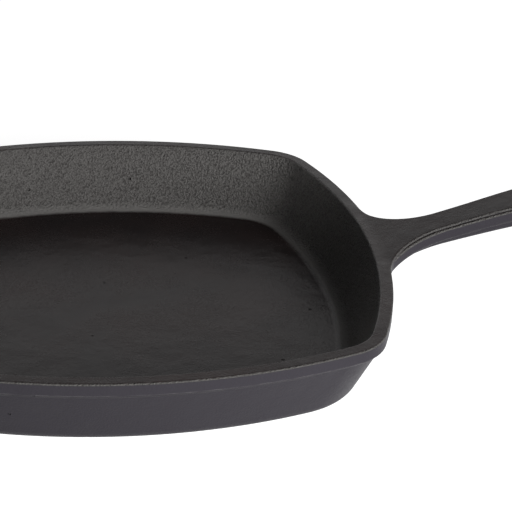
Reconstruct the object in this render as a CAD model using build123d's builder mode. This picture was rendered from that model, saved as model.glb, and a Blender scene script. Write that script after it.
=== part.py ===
from build123d import *
import os
from math import asin, atan2, cos, degrees, radians, sin, sqrt, tan

# Square skillet cast in one piece of iron, in millimetres.
# The origin is the middle of the resting face, +Z is up and the long handle points along +X.
# The casting is drawn whole, then parted into the bowl and its two handles on flat section planes.

# Overall sizes
pan_width = 266.7
pan_height = 37.1
long_handle_reach = 133.35
helper_handle_reach = 31.75

# Rim band, seen from above and in section
rim_side_radius = 266.0
rim_corner_radius = 28.3
rim_land = 6.4
band_height = 6.0
band_overhang = 2.3
band_splay = 2.0
rim_edge_round = 1.0

# Outer wall, from the foot of the band down to the resting face
wall_corner_radius = 33.0
wall_lean = 14.95
base_corner_radius = 43.4
base_edge_round = 8.0

# Cooking space
floor_thickness = 4.1
floor_margin = 4.7
floor_corner_radius = 34.0
cove_radius = 9.0

# Long handle, seen from above
waist_width = 19.8
waist_reach = 31.6
long_root_radius = 33.0
handle_end_radius = 17.0
hang_hole_diameter = 12.0

# Long handle, seen from the side
rise_inset = 4.1
rise_radius = 16.0
rise_angle = 16.5
ramp_length = 57.0
crest_radius = 310.0
waist_depth = 11.8
belly_angle = 14.2
belly_length = 26.0
belly_crest_radius = 1000.0
gusset_foot = 5.6
belly_inset = 2.2
belly_round = 4.5

# Shoulder of the long handle, a rounded ledge all round just under its flat top
shoulder_drop = 1.2
shoulder_depth = 8.0
shoulder_reach = 1.3
shoulder_root_radius = 38.0
shoulder_round = 1.1
shoulder_under_round = 3.0

# Helper handle
helper_width = 84.0
helper_corner_radius = 15.0
helper_root_radius = 12.0
helper_depth = 9.0
helper_inset = 0.9
helper_round = 3.0
finger_slot_length = 50.0
finger_slot_width = 12.0
helper_bar = 11.0

# How far outside the rim's widest line the handles are parted from the bowl
parting_offset = 2.0

# How far cuts run past the surface they cut
overrun = 2.0

# A face that looks up by more than this share of its normal counts as a top face
steep_share = 0.9

quarter_turn = 90

# Sizes that follow from the ones above
half_width = pan_width / 2
band_foot = pan_height - band_height
mouth_half = half_width - rim_land
base_half = half_width - wall_lean
base_side_radius = rim_side_radius - wall_lean
floor_half = base_half - floor_margin
handle_end = half_width + long_handle_reach
helper_end = -half_width - helper_handle_reach
waist_station = half_width + waist_reach
rise_run = rise_radius * sin(radians(rise_angle))
rise_height = rise_radius * (1 - cos(radians(rise_angle)))
ramp_run = waist_reach + rise_inset - rise_run
waist_top = pan_height + rise_height + ramp_run * tan(radians(rise_angle))
waist_foot = waist_top - waist_depth


def bowed_square(height, half, side_radius, corner_radius):
    """Draw a square with bowed sides and rounded corners, flat at a height."""
    side_center = half - side_radius
    spread = side_radius - corner_radius
    corner_center = (side_center + sqrt(2 * spread**2 - side_center**2)) / 2
    side_turn = atan2(corner_center, corner_center - side_center)
    side_x = side_center + side_radius * cos(side_turn)
    side_y = side_radius * sin(side_turn)
    corner_middle = corner_center + corner_radius * sqrt(1 / 2)
    with BuildSketch(Plane.XY.offset(height)) as outline:
        with BuildLine():
            for quarter in range(4):
                quarter_points = [(side_x, -side_y), (half, 0), (side_x, side_y)]
                quarter_points += [(corner_middle, corner_middle), (side_y, side_x)]
                turned = [Vector(x, y).rotate(Axis.Z, quarter * quarter_turn) for x, y in quarter_points]
                ThreePointArc(turned[0], turned[1], turned[2])
                ThreePointArc(turned[2], turned[3], turned[4])
        make_face()
    return outline.sketch


def long_handle_plan(inset):
    """Draw the long handle from above, waisted and round ended, drawn in all round by an inset."""
    waist_half = waist_width / 2
    end_center = handle_end - handle_end_radius
    stretch = handle_end - waist_station
    flank_radius = (stretch**2 - 2 * stretch * handle_end_radius + waist_half**2) / (
        2 * (handle_end_radius - waist_half)
    )
    flank_center = Vector(waist_station, waist_half + flank_radius)
    inner_radius = flank_radius + inset
    root_x = base_half
    root_y = flank_center.Y - sqrt(inner_radius**2 - (waist_station - root_x) ** 2)
    toward_flank = (flank_center - Vector(end_center, 0)).normalized()
    meeting = Vector(end_center, 0) + toward_flank * (handle_end_radius - inset)
    with BuildSketch() as strip:
        with BuildLine():
            flank = ThreePointArc((root_x, root_y), (waist_station, waist_half - inset), meeting)
            ThreePointArc(meeting, (handle_end - inset, 0), (meeting.X, -meeting.Y))
            mirror(flank, about=Plane.XZ)
            Line((root_x, root_y), (root_x, -root_y))
        make_face()
    return strip.sketch


def helper_handle_plan(inset):
    """Draw the helper handle from above, a tab with rounded corners, drawn in all round by an inset."""
    reach = half_width + helper_handle_reach - base_half - inset
    with BuildSketch() as tab:
        with Locations((helper_end + inset, 0)):
            Rectangle(reach, helper_width - 2 * inset, align=(Align.MIN, Align.CENTER))
        fillet(tab.vertices().group_by(Axis.X)[0], helper_corner_radius - inset)
    return tab.sketch


def turn_to_handle_end(start, radius, slope):
    """Give the turn that takes a crest from a slope down to just past the end of the long handle."""
    run = handle_end + overrun - start.X
    return slope - degrees(asin(sin(radians(slope)) - run / radius))


def side_of_ribbon(top_depth, bottom_depth):
    """Draw the rim and the rise of the long handle from the side, between two depths under their top."""
    with BuildSketch(Plane.XZ) as side:
        with BuildLine():
            ends = []
            for depth in (top_depth, bottom_depth):
                level = pan_height - depth
                flat = Line((helper_end - overrun, level), (half_width - rise_inset, level))
                root_radius = rise_radius + depth
                rise = JernArc(start=flat @ 1, tangent=flat % 1, radius=root_radius, arc_size=rise_angle)
                ramp = PolarLine(start=rise @ 1, length=ramp_length, direction=rise % 1)
                end_radius = crest_radius - depth
                fall = turn_to_handle_end(ramp @ 1, end_radius, rise_angle)
                crest = JernArc(start=ramp @ 1, tangent=ramp % 1, radius=end_radius, arc_size=-fall)
                ends += [flat @ 0, crest @ 1]
            Line(ends[0], ends[2])
            Line(ends[1], ends[3])
        make_face()
    return side.sketch


# The cooking space is a draughted hollow with a coved foot
with BuildPart() as cooking_space:
    floor_outline = bowed_square(
        floor_thickness, floor_half, base_side_radius - floor_margin, floor_corner_radius
    )
    mouth = bowed_square(pan_height, mouth_half, rim_side_radius - rim_land, rim_corner_radius - rim_land)
    loft([floor_outline.face(), mouth.face()], ruled=True)
    fillet(cooking_space.faces().sort_by(Axis.Z)[0].edges(), cove_radius)

# The hang hole and the finger slot go straight through the handles
with BuildPart() as openings:
    with BuildSketch():
        with Locations((handle_end - handle_end_radius, 0)):
            Circle(hang_hole_diameter / 2)
        with Locations((helper_end + helper_bar + finger_slot_width / 2, 0)):
            SlotOverall(finger_slot_length, finger_slot_width, rotation=quarter_turn)
    extrude(amount=pan_height + long_handle_reach)

# The rim band and the tops of both handles are one ribbon of iron, cut to one outline seen from above
with BuildSketch() as rim_plan:
    add(bowed_square(0, half_width, rim_side_radius, rim_corner_radius))
    add(long_handle_plan(shoulder_reach))
    add(helper_handle_plan(0))
    roots = rim_plan.vertices().filter_by(lambda v: abs(abs(v.X) - half_width) < rim_land)
    fillet(roots.filter_by(lambda v: v.X < 0 and abs(v.Y) < helper_width), helper_root_radius)
    roots = rim_plan.vertices().filter_by(lambda v: abs(abs(v.X) - half_width) < rim_land)
    fillet(roots.filter_by(lambda v: v.X > 0 and abs(v.Y) < waist_width), long_root_radius)

with BuildPart() as rim_ribbon:
    add(rim_plan.sketch)
    extrude(amount=pan_height + long_handle_reach)
    extrude(side_of_ribbon(0, band_height), amount=half_width + overrun, both=True, mode=Mode.INTERSECT)
    top_faces = rim_ribbon.faces().filter_by(lambda face: face.normal_at().Z > steep_share)
    seams = top_faces.edges().filter_by(Axis.Y).filter_by_position(Axis.X, base_half, handle_end)
    fillet(top_faces.edges() - seams, rim_edge_round)

# The outer wall flares up from the resting face, then splays out to carry the band
wall_top = bowed_square(
    band_foot - band_splay, half_width - band_overhang, rim_side_radius - band_overhang, wall_corner_radius
)
with BuildPart() as outer_wall:
    base_outline = bowed_square(0, base_half, base_side_radius, base_corner_radius)
    loft([base_outline.face(), wall_top.face()], ruled=True)
    fillet(outer_wall.faces().sort_by(Axis.Z)[0].edges(), base_edge_round)
with BuildPart() as band_splay_ring:
    band_outline = bowed_square(band_foot, half_width, rim_side_radius, rim_corner_radius)
    loft([wall_top.face(), band_outline.face()], ruled=True)

# The shoulder runs on round the bowl inside the band, and comes out of it at the root of the long handle
with BuildSketch() as shoulder_plan:
    add(bowed_square(0, half_width - band_overhang, rim_side_radius - band_overhang, wall_corner_radius))
    add(long_handle_plan(0))
    roots = shoulder_plan.vertices().filter_by(lambda v: v.X > base_half and abs(v.Y) < waist_width)
    fillet(roots.filter_by(lambda v: v.X < half_width), shoulder_root_radius)
with BuildPart() as shoulder:
    add(shoulder_plan.sketch)
    extrude(amount=pan_height + long_handle_reach)
    layer = side_of_ribbon(shoulder_drop, shoulder_depth)
    extrude(layer, amount=half_width + overrun, both=True, mode=Mode.INTERSECT)
    for side, edge_round in ((1, shoulder_round), (-1, shoulder_under_round)):
        flats = shoulder.faces().filter_by(lambda face: side * face.normal_at().Z > steep_share)
        seams = flats.edges().filter_by(Axis.Y).filter_by_position(Axis.X, base_half, handle_end)
        fillet(flats.edges() - seams, edge_round)

# A rounded rib runs under the long handle and deepens into a gusset on the wall
with BuildPart() as long_rib:
    add(long_handle_plan(belly_inset))
    extrude(amount=pan_height + long_handle_reach)
    under_ribbon = side_of_ribbon(band_height / 2, pan_height)
    extrude(under_ribbon, amount=half_width, both=True, mode=Mode.INTERSECT)
    with BuildSketch(Plane.XZ) as above_belly:
        with BuildLine():
            belly = PolarLine(start=(waist_station, waist_foot), length=belly_length, angle=belly_angle)
            fall = turn_to_handle_end(belly @ 1, belly_crest_radius, belly_angle)
            belly_crest = JernArc(
                start=belly @ 1, tangent=belly % 1, radius=belly_crest_radius, arc_size=-fall
            )
            gusset = TangentArc(belly @ 0, (base_half, gusset_foot), tangent=(belly % 0) * -1)
            far_top = (belly_crest @ 1) + (0, pan_height)
            Polyline(gusset @ 1, (base_half, far_top.Y), far_top, belly_crest @ 1)
        make_face()
    extrude(amount=half_width, both=True, mode=Mode.INTERSECT)
    underside = long_rib.faces().filter_by(lambda face: face.normal_at().Z < 0)
    fillet(underside.edges().filter_by(Axis.Y, reverse=True), belly_round)

# A shallower rib thickens the helper handle
with BuildPart() as helper_rib:
    with BuildSketch(Plane.XY.offset(pan_height - helper_depth)):
        add(helper_handle_plan(helper_inset))
    extrude(amount=helper_depth - band_height / 2)
    helper_under = helper_rib.faces().sort_by(Axis.Z)[0]
    fillet(helper_under.edges().filter_by(lambda edge: edge.center().X < -half_width), helper_round)

# The whole casting, hollowed and pierced
with BuildPart() as casting:
    add(outer_wall)
    add(band_splay_ring)
    add(rim_ribbon)
    add(shoulder)
    add(long_rib)
    add(helper_rib)
    add(cooking_space, mode=Mode.SUBTRACT)
    add(openings, mode=Mode.SUBTRACT)
    top_faces = casting.faces().filter_by(lambda face: face.normal_at().Z > steep_share)
    for top_face in top_faces.filter_by(lambda face: face.center().Z > band_foot):
        for loop in top_face.inner_wires():
            fillet(loop.edges(), rim_edge_round)

# The bowl is what lies between the two parting planes
long_parting = Plane.YZ.offset(half_width + parting_offset)
helper_parting = Plane.YZ.offset(-half_width - parting_offset)

with BuildPart() as pan_body:
    add(casting)
    split(bisect_by=long_parting, keep=Keep.BOTTOM)
    split(bisect_by=helper_parting, keep=Keep.TOP)

with BuildPart() as long_handle:
    add(casting)
    split(bisect_by=long_parting, keep=Keep.TOP)

with BuildPart() as helper_handle:
    add(casting)
    split(bisect_by=helper_parting, keep=Keep.BOTTOM)

os.makedirs("parts", exist_ok=True)
pan_body.part.label = "pan_body"
export_step(pan_body.part, "parts/pan_body.step")
long_handle.part.label = "long_handle"
export_step(long_handle.part, "parts/long_handle.step")
helper_handle.part.label = "helper_handle"
export_step(helper_handle.part, "parts/helper_handle.step")
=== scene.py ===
from math import radians

import bpy
from bpy.props import FloatProperty, FloatVectorProperty, PointerProperty
from mathutils import Euler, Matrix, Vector


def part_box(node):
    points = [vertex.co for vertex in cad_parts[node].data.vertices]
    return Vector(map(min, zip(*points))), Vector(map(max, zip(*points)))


bl_info = {
    "name": "Square Skillet",
    "version": (1, 0, 0),
    "blender": (4, 5, 0),
    "location": "View3D > Sidebar > Skillet",
    "description": "Dresses the packed skillet casting and sets up its studio",
    "category": "Object",
}

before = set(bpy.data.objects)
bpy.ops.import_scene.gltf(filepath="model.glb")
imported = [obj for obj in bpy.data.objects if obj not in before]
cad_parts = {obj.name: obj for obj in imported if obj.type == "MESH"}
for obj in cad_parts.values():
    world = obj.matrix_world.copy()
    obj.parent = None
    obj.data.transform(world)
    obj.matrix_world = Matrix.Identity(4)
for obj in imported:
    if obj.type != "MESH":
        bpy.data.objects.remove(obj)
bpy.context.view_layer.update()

# Distance from the middle of the pan to the two flat planes on which the nodes meet
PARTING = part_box("long_handle")[0][0]

# Upward part of the surface's direction, from where each look of the iron starts to where it is full
OUTSIDE_SHARES = (0.2, 0.05)
FLAT_SHARES = (0.55, 0.95)
SKIN_AND_PAINTED_LIGHT_SHARES = (0.92, 0.65)
FOOT_SHARES = (0.99, 0.93)

# Heights of the surface's features as shares of the grain's depth, and their sizes in pebbles
PEBBLE_SHARE = -0.6
WAVE_SHARE = 0.3
PIT_SHARE = 1.5
SPECKLE_PEBBLES = 0.9
WAVE_PEBBLES = 16

# Values of a noise, of the grain and of the pit cells between which a feature fades in or out
HOLLOW_RANGE = (0.05, 0.4)
GRAIN_RANGE = (0.0, 0.6)
STAIN_RANGE = (0.35, 0.7)
DULL_RANGE = (0.3, 0.7)
RUBBED_AND_HIGHLIT_RANGE = (0.3, 0.6)
PIT_SHARES = (0.04, 0.08)
PIT_CHANCES = (0.75, 0.8)

# Cosines of the turn across an edge, from an unrubbed surface to a rubbed edge
EDGE_COSINES = (0.99, 0.9)

# Distances from a meeting plane, in edge widths, between which the rubbing and the painted edge highlight
# come back
SEAM_WIDTHS = (1, 2)

# Colour of the paper's glow and of the backdrop
WHITE = (1, 1, 1, 1)


class SkilletIron(bpy.types.PropertyGroup):
    """Colours and surface of the seasoned iron."""

    color: FloatVectorProperty(
        name="Iron colour", description="Colour of the oiled black iron", subtype="COLOR",
        size=3, min=0, max=1, default=(0.009, 0.0065, 0.0068),
    )
    warm_color: FloatVectorProperty(
        name="Warm stain", description="Colour of the browned oil", subtype="COLOR",
        size=3, min=0, max=1, default=(0.016, 0.0095, 0.0090),
    )
    # The skin colours are partly a dull cast skin and partly painted light: they are far paler than the iron
    # and stand for the light that the walls catch
    skin_and_painted_light_color: FloatVectorProperty(
        name="Skin", description="Colour of the dull skin on the inner walls", subtype="COLOR",
        size=3, min=0, max=1, default=(0.134, 0.1295, 0.125),
    )
    cool_skin_and_painted_light_color: FloatVectorProperty(
        name="Cool skin", description="Colour of the dull skin on the outside", subtype="COLOR",
        size=3, min=0, max=1, default=(0.032, 0.0298, 0.0352),
    )
    # The edge colour is partly rubbed wear and partly a painted highlight of the light that the rounded edges
    # catch
    edge_wear_and_highlight_color: FloatVectorProperty(
        name="Edge colour", description="Colour of the iron where the edges are rubbed", subtype="COLOR",
        size=3, min=0, max=1, default=(0.100, 0.097, 0.096),
    )
    gloss_tint: FloatVectorProperty(
        name="Gloss tint", description="Colour of the dull gloss", subtype="COLOR",
        size=3, min=0, max=1, default=(1.0, 0.93, 0.94),
    )
    specular: FloatProperty(
        name="Specular level", description="Strength of the gloss on the oiled flats",
        min=0, max=1, default=0.110,
    )
    skin_specular: FloatProperty(
        name="Skin specular level", description="Strength of the gloss on the dull skin",
        min=0, max=1, default=0.04,
    )
    edge_specular: FloatProperty(
        name="Edge specular level", description="Gloss added on rubbed edges", min=0, max=1, default=0.2,
    )
    roughness: FloatProperty(
        name="Roughness", description="Mean roughness of the oiled flats", min=0, max=1, default=0.25,
    )
    skin_roughness: FloatProperty(
        name="Skin roughness", description="Mean roughness of the dull skin", min=0, max=1, default=0.4,
    )
    patch_roughness: FloatVectorProperty(
        name="Patch roughness", description="Least and most roughness that the dull patches add",
        size=2, default=(-0.03, 0.04),
    )
    pebble_roughness: FloatVectorProperty(
        name="Pebble roughness", description="Least and most roughness that the grain adds",
        size=2, default=(-0.04, 0.04),
    )
    grain_size: FloatProperty(
        name="Grain size", description="Width of one pebble of the cast grain", subtype="DISTANCE",
        unit="LENGTH", min=0, default=0.0010,
    )
    grain_depth: FloatProperty(
        name="Grain depth", description="Height that a full step of the grain's bump stands for",
        subtype="DISTANCE", unit="LENGTH", min=0, default=0.0019,
    )
    flat_grain: FloatProperty(
        name="Grain on flats", description="Share of the grain left on the floor and the rim",
        min=0, max=1, default=0.06,
    )
    outer_grain: FloatProperty(
        name="Grain outside", description="Share of the grain left on the outside",
        min=0, max=1, default=0.08,
    )
    # The hollow shade is painted shade: it darkens the grain's hollows back to the iron colour
    hollow_shade: FloatProperty(
        name="Hollow shade", description="How much darker the hollows of the grain are",
        min=0, max=1, default=0.5,
    )
    # The foot heights bound a painted reflection: the pale skin runs on down the coved foot
    foot_height: FloatVectorProperty(
        name="Foot height", description="Heights between which the skin of the coved foot fades in",
        unit="LENGTH", size=2, default=(0.022, 0.016),
    )
    edge_width: FloatProperty(
        name="Edge width", description="Width of the rubbed edges", subtype="DISTANCE",
        unit="LENGTH", min=0, default=0.0007,
    )
    pit_gap: FloatProperty(
        name="Pit gap", description="Size of the cells that may hold one pit", subtype="DISTANCE",
        unit="LENGTH", min=0, default=0.011,
    )
    rubbed_and_highlit_size: FloatProperty(
        name="Rubbed size", description="Size of the rubbed spots along an edge", subtype="DISTANCE",
        unit="LENGTH", min=0, default=0.006,
    )
    stain_size: FloatProperty(
        name="Stain size", description="Size of the warm stains", subtype="DISTANCE",
        unit="LENGTH", min=0, default=0.045,
    )
    dull_size: FloatProperty(
        name="Dull size", description="Size of the duller patches", subtype="DISTANCE",
        unit="LENGTH", min=0, default=0.03,
    )


class SkilletStudio(bpy.types.PropertyGroup):
    """Camera, floor, backdrop and lamp of the studio."""

    sensor_width: FloatProperty(
        name="Sensor width", description="Width of the camera's sensor, in millimetres", min=1, default=36,
    )
    focal_length: FloatProperty(
        name="Focal length", description="Focal length of the camera, in millimetres", min=1, default=128.94,
    )
    eye: FloatVectorProperty(
        name="Eye", description="Place of the camera", subtype="TRANSLATION", unit="LENGTH",
        size=3, default=(-0.07821, -0.80127, 0.42734),
    )
    turn: FloatVectorProperty(
        name="Turn", description="Direction of the camera", subtype="EULER", unit="ROTATION",
        size=3, default=(radians(63.936), radians(-2.6056), radians(-9.2851)),
    )
    backdrop: FloatProperty(
        name="Backdrop", description="Strength of the backdrop's light on dull surfaces", min=0, default=0.04,
    )
    key_place: FloatVectorProperty(
        name="Key place", description="Place of the soft lamp in front", subtype="TRANSLATION", unit="LENGTH",
        size=3, default=(0.42, -0.95, 0.28),
    )
    key_size: FloatVectorProperty(
        name="Key size", description="Width and height of the soft lamp in front", unit="LENGTH",
        size=2, min=0, default=(0.42, 0.42),
    )
    key_power: FloatProperty(
        name="Key power", description="Power of the soft lamp in front", subtype="POWER", min=0, default=18.0,
    )
    floor_reach: FloatProperty(
        name="Floor reach", description="Distance from the pan to the floor's sides", subtype="DISTANCE",
        unit="LENGTH", min=0, default=6.0,
    )
    floor_gap: FloatProperty(
        name="Floor gap", description="Gap that keeps the paper clear of the base", subtype="DISTANCE",
        unit="LENGTH", min=0, default=0.0002,
    )
    paper_color: FloatVectorProperty(
        name="Paper", description="Colour of the paper floor under the lamp", subtype="COLOR",
        size=3, min=0, max=1, default=(0.5, 0.5, 0.5),
    )
    paper_glow: FloatProperty(
        name="Paper glow", description="Share of white that the paper shows by itself",
        min=0, max=1, default=0.95,
    )


def node(tree, kind, inputs=None, **settings):
    """Add a shader node with its settings and unlinked inputs."""
    made = tree.nodes.new(kind)
    for key, value in settings.items():
        setattr(made, key, value)
    for key, value in (inputs or {}).items():
        made.inputs[key].default_value = value
    return made


def ramp(tree, value, source, target=(0.0, 1.0)):
    """Map a value from one pair of ends to another, clamped at both ends."""
    ends = {"From Min": source[0], "From Max": source[1], "To Min": target[0], "To Max": target[1]}
    mapped = node(tree, "ShaderNodeMapRange", ends)
    tree.links.new(value, mapped.inputs["Value"])
    return mapped.outputs["Result"]


def combine(tree, operation, *values):
    """Join values, each a socket or a number, by a math operation."""
    made = node(tree, "ShaderNodeMath", operation=operation)
    for socket, value in zip(made.inputs, values):
        if isinstance(value, bpy.types.NodeSocket):
            tree.links.new(value, socket)
        else:
            socket.default_value = value
    return made.outputs["Value"]


def blend_colors(tree, factor, first, second):
    """Mix two colours, each a socket or a plain colour, by a factor."""
    made = node(tree, "ShaderNodeMix", data_type="RGBA")
    tree.links.new(factor, made.inputs["Factor"])
    for name, value in (("A", first), ("B", second)):
        socket = next(s for s in made.inputs if s.name == name and s.type == "RGBA")
        if isinstance(value, bpy.types.NodeSocket):
            tree.links.new(value, socket)
        else:
            socket.default_value = (*value, 1)
    return next(s for s in made.outputs if s.type == "RGBA")


def split_vector(tree, vector):
    """Split a vector into its X, Y and Z outputs."""
    parts = node(tree, "ShaderNodeSeparateXYZ")
    tree.links.new(vector, parts.inputs["Vector"])
    return parts.outputs


def noise(tree, place, size, detail=3.0, rough=0.5):
    """Add a soft noise with features of one size."""
    made = node(tree, "ShaderNodeTexNoise", {"Scale": 1 / size, "Detail": detail, "Roughness": rough})
    tree.links.new(place, made.inputs["Vector"])
    return made.outputs["Fac"]


def new_material(name):
    """Add an empty node material and return it with its tree."""
    material = bpy.data.materials.new(name)
    material.use_nodes = True
    material.node_tree.nodes.clear()
    return material, material.node_tree


def cast_grain(tree, place, settings):
    """Pebbles of the mould's sand, highest in their middles and roughened by a finer noise."""
    pebbles = node(tree, "ShaderNodeTexVoronoi", {"Scale": 1 / settings.grain_size, "Smoothness": 1.0},
                   feature="SMOOTH_F1")
    tree.links.new(place, pebbles.inputs["Vector"])
    pebble = combine(tree, "MULTIPLY", pebbles.outputs["Distance"], PEBBLE_SHARE)
    speckle = noise(tree, place, settings.grain_size * SPECKLE_PEBBLES, rough=0.6)
    return combine(tree, "ADD", pebble, speckle)


def small_pits(tree, place, settings):
    """A few small round pits, one in every few cells."""
    cells = node(tree, "ShaderNodeTexVoronoi", {"Scale": 1 / settings.pit_gap})
    tree.links.new(place, cells.inputs["Vector"])
    chance = node(tree, "ShaderNodeSeparateColor")
    tree.links.new(cells.outputs["Color"], chance.inputs["Color"])
    hole = ramp(tree, cells.outputs["Distance"], PIT_SHARES, (1.0, 0.0))
    return combine(tree, "MULTIPLY", hole, ramp(tree, chance.outputs["Red"], PIT_CHANCES))


def rubbed_and_highlit_edges(tree, place, settings):
    """Edges rubbed by use and given a painted highlight, broken up by noise, and none where the nodes meet
    inside the casting.
    """
    bevel = node(tree, "ShaderNodeBevel", {"Radius": settings.edge_width}, samples=4)
    geometry = node(tree, "ShaderNodeNewGeometry")
    turn = node(tree, "ShaderNodeVectorMath", operation="DOT_PRODUCT")
    tree.links.new(bevel.outputs["Normal"], turn.inputs[0])
    tree.links.new(geometry.outputs["Normal"], turn.inputs[1])
    edge = ramp(tree, turn.outputs["Value"], EDGE_COSINES)
    spots = ramp(tree, noise(tree, place, settings.rubbed_and_highlit_size), RUBBED_AND_HIGHLIT_RANGE)
    off_middle = combine(tree, "ABSOLUTE", split_vector(tree, place)["X"])
    off_seam = combine(tree, "ABSOLUTE", combine(tree, "SUBTRACT", off_middle, PARTING))
    clear = ramp(tree, off_seam, [settings.edge_width * widths for widths in SEAM_WIDTHS])
    return combine(tree, "MULTIPLY", combine(tree, "MULTIPLY", edge, spots), clear)


def iron_material(settings):
    """Seasoned cast iron: oiled flats, a dull pebbled skin on the walls whose pale colour is partly painted
    light, pits, stains and rubbed edges with a painted highlight.
    """
    material, tree = new_material("Seasoned_Iron")
    link = tree.links.new
    output = node(tree, "ShaderNodeOutputMaterial")
    shader = node(tree, "ShaderNodeBsdfPrincipled", {"Specular Tint": (*settings.gloss_tint, 1)})
    link(shader.outputs["BSDF"], output.inputs["Surface"])
    coordinates = node(tree, "ShaderNodeTexCoord")
    place = coordinates.outputs["Object"]
    upward = split_vector(tree, coordinates.outputs["Normal"])["Z"]

    # The inner walls keep the grain of the mould, and the flats and the outside are smoother
    outside = ramp(tree, upward, OUTSIDE_SHARES)
    grained = ramp(tree, upward, FLAT_SHARES, (1.0, settings.flat_grain))
    grained = combine(tree, "MULTIPLY", grained, ramp(tree, outside, (0.0, 1.0), (1.0, settings.outer_grain)))

    # Height of the surface: grain, broad shallow waves and pits
    grain = cast_grain(tree, place, settings)
    waves = noise(tree, place, settings.grain_size * WAVE_PEBBLES, detail=2.0)
    pits = small_pits(tree, place, settings)
    height = combine(tree, "MULTIPLY", grain, grained)
    height = combine(tree, "ADD", height, combine(tree, "MULTIPLY", waves, WAVE_SHARE))
    height = combine(tree, "SUBTRACT", height, combine(tree, "MULTIPLY", pits, PIT_SHARE))
    bump = node(tree, "ShaderNodeBump", {"Strength": 1.0, "Distance": settings.grain_depth})
    link(height, bump.inputs["Height"])
    link(bump.outputs["Normal"], shader.inputs["Normal"])

    # The dull skin covers what stands steep, and the coved foot down to the floor; its pale colour is partly
    # painted light on the walls and a painted reflection on the coved foot
    low = ramp(tree, split_vector(tree, place)["Z"], settings.foot_height)
    # Painted reflection: the pale skin runs on down the coved foot, low in the bowl
    foot = combine(tree, "MULTIPLY", ramp(tree, upward, FOOT_SHARES), low)
    skinned_and_painted_light = combine(tree, "MAXIMUM", ramp(tree, upward, SKIN_AND_PAINTED_LIGHT_SHARES), foot)
    rubbed_and_highlit = rubbed_and_highlit_edges(tree, place, settings)

    # Oiled flats with warm stains; a skin that is cooler outside, whose pale colour is partly painted light
    # and whose hollows get painted shade; edges paler from wear and a painted highlight
    stains = ramp(tree, noise(tree, place, settings.stain_size), STAIN_RANGE)
    flats = blend_colors(tree, stains, settings.color, settings.warm_color)
    # Painted light: the pale skin colours stand for the light on the walls, cooler on the outside
    skin = blend_colors(tree, outside, settings.skin_and_painted_light_color, settings.cool_skin_and_painted_light_color)
    # Painted shade: the grain's hollows are darkened back to the iron colour
    hollows = ramp(tree, grain, HOLLOW_RANGE, (settings.hollow_shade, 0.0))
    skin = blend_colors(tree, combine(tree, "MULTIPLY", hollows, grained), skin, settings.color)
    color = blend_colors(tree, skinned_and_painted_light, flats, skin)
    # Painted highlight: the rubbed edges are paler, partly from wear and partly for the light that the edges
    # catch
    link(blend_colors(tree, rubbed_and_highlit, color, settings.edge_wear_and_highlight_color), shader.inputs["Base Color"])

    # Gloss of the flats and of the skin, with more on the rubbed edges
    gloss = ramp(tree, skinned_and_painted_light, (0.0, 1.0), (settings.specular, settings.skin_specular))
    gloss = combine(tree, "ADD", gloss, combine(tree, "MULTIPLY", rubbed_and_highlit, settings.edge_specular))
    link(gloss, shader.inputs["Specular IOR Level"])

    # Roughness of the flats and of the skin, varied by the dull patches and the grain
    patches = noise(tree, place, settings.dull_size, detail=4.0)
    patches = ramp(tree, patches, DULL_RANGE, settings.patch_roughness)
    roughness = ramp(tree, skinned_and_painted_light, (0.0, 1.0), (settings.roughness, settings.skin_roughness))
    roughness = combine(tree, "ADD", roughness, patches)
    roughness = combine(tree, "ADD", roughness, ramp(tree, grain, GRAIN_RANGE, settings.pebble_roughness))
    link(roughness, shader.inputs["Roughness"])
    return material


class SKILLET_OT_casting(bpy.types.Operator):
    """Finish the casting in seasoned iron"""

    bl_idname = "skillet.casting"
    bl_label = "Casting"

    def execute(self, context):
        material = iron_material(context.scene.skillet_iron)
        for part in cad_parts.values():
            for slot in part.material_slots:
                slot.material = material
        return {"FINISHED"}


def direct_view(tree):
    """Give 1 to rays of the camera, of gloss and through clear matter, and 0 to the rest."""
    path = node(tree, "ShaderNodeLightPath")
    direct = combine(tree, "MAXIMUM", path.outputs["Is Camera Ray"], path.outputs["Is Glossy Ray"])
    return combine(tree, "MAXIMUM", direct, path.outputs["Is Transmission Ray"])


def paper_material(settings):
    """White paper that the camera and the gloss see as the backdrop, with the skillet's shadow kept on it."""
    material, tree = new_material("Studio_Paper")
    link = tree.links.new
    output = node(tree, "ShaderNodeOutputMaterial")
    lit = node(tree, "ShaderNodeBsdfDiffuse", {"Color": (*settings.paper_color, 1)})
    glow = node(tree, "ShaderNodeEmission", {"Color": WHITE})
    link(combine(tree, "MULTIPLY", direct_view(tree), settings.paper_glow), glow.inputs["Strength"])
    both = node(tree, "ShaderNodeAddShader")
    link(lit.outputs["BSDF"], both.inputs[0])
    link(glow.outputs["Emission"], both.inputs[1])
    link(both.outputs["Shader"], output.inputs["Surface"])
    return material


def add_object(scene, name, data):
    """Add an object with its data to the scene."""
    made = bpy.data.objects.new(name, data)
    scene.collection.objects.link(made)
    return made


def add_camera(scene, settings):
    """Put the camera where the photograph was taken from."""
    data = bpy.data.cameras.new("Camera")
    data.sensor_fit = "HORIZONTAL"
    data.sensor_width = settings.sensor_width
    data.lens = settings.focal_length
    camera = add_object(scene, "Camera", data)
    camera.location = settings.eye
    camera.rotation_euler = Euler(settings.turn)
    scene.camera = camera


def add_floor(scene, settings):
    """Lay one wide sheet of paper just under the base."""
    reach = settings.floor_reach
    data = bpy.data.meshes.new("Studio_Floor")
    corners = [(-reach, -reach, 0), (reach, -reach, 0), (reach, reach, 0), (-reach, reach, 0)]
    data.from_pydata(corners, [], [range(len(corners))])
    data.materials.append(paper_material(settings))
    floor = add_object(scene, "Studio_Floor", data)
    floor.location.z = -settings.floor_gap


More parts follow.
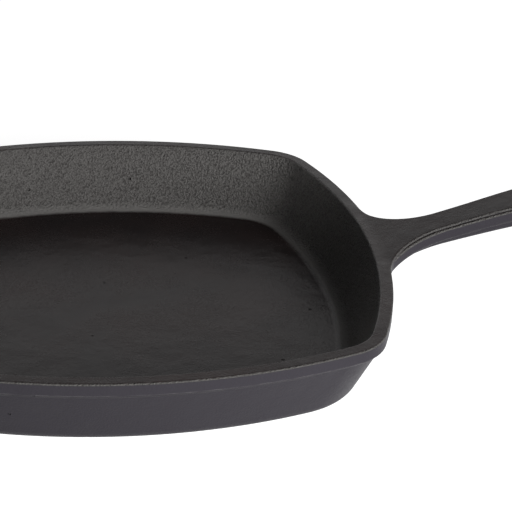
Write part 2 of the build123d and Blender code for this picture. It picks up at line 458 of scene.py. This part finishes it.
def add_world(scene, settings):
    """Show a white backdrop, which lights dull surfaces only faintly."""
    world = bpy.data.worlds.new("Studio_World")
    scene.world = world
    world.use_nodes = True
    tree = world.node_tree
    tree.nodes.clear()
    output = node(tree, "ShaderNodeOutputWorld")
    cast = node(tree, "ShaderNodeBackground", {"Color": WHITE, "Strength": settings.backdrop})
    seen = node(tree, "ShaderNodeBackground", {"Color": WHITE, "Strength": 1.0})
    mix = node(tree, "ShaderNodeMixShader")
    tree.links.new(direct_view(tree), mix.inputs["Fac"])
    tree.links.new(cast.outputs["Background"], mix.inputs[1])
    tree.links.new(seen.outputs["Background"], mix.inputs[2])
    tree.links.new(mix.outputs["Shader"], output.inputs["Surface"])


def add_key_lamp(scene, settings):
    """Add the soft lamp, which looks at the pan and leaves no glare on its flats."""
    data = bpy.data.lights.new("Key_Lamp", "AREA")
    data.shape = "RECTANGLE"
    data.size, data.size_y = settings.key_size
    data.energy = settings.key_power
    lamp = add_object(scene, "Key_Lamp", data)
    lamp.location = settings.key_place
    lamp.rotation_euler = (-Vector(settings.key_place)).to_track_quat("-Z", "Y").to_euler()
    lamp.visible_glossy = False


class SKILLET_OT_studio(bpy.types.Operator):
    """Set up the floor, the backdrop, the lamp and the camera"""

    bl_idname = "skillet.studio"
    bl_label = "Studio"

    def execute(self, context):
        scene = context.scene
        settings = scene.skillet_studio
        scene.view_settings.view_transform = "Standard"
        add_camera(scene, settings)
        add_floor(scene, settings)
        add_world(scene, settings)
        add_key_lamp(scene, settings)
        return {"FINISHED"}


class SKILLET_PT_panel(bpy.types.Panel):
    """The casting and its studio"""

    bl_idname = "SKILLET_PT_panel"
    bl_label = "Square Skillet"
    bl_space_type = "VIEW_3D"
    bl_region_type = "UI"
    bl_category = "Skillet"

    def draw(self, context):
        for kind in OPERATORS:
            self.layout.operator(kind.bl_idname)
        for settings in (context.scene.skillet_iron, context.scene.skillet_studio):
            for name in settings.__annotations__:
                self.layout.prop(settings, name)


OPERATORS = (SKILLET_OT_casting, SKILLET_OT_studio)
CLASSES = (SkilletIron, SkilletStudio, *OPERATORS, SKILLET_PT_panel)


def register():
    """Add the classes and their settings to Blender."""
    for kind in CLASSES:
        bpy.utils.register_class(kind)
    bpy.types.Scene.skillet_iron = PointerProperty(type=SkilletIron)
    bpy.types.Scene.skillet_studio = PointerProperty(type=SkilletStudio)


def unregister():
    """Take the settings and the classes out again."""
    del bpy.types.Scene.skillet_studio
    del bpy.types.Scene.skillet_iron
    for kind in reversed(CLASSES):
        bpy.utils.unregister_class(kind)


def main():
    """Finish the casting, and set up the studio."""
    register()
    bpy.ops.skillet.casting()
    bpy.ops.skillet.studio()


if __name__ == "__main__":
    main()
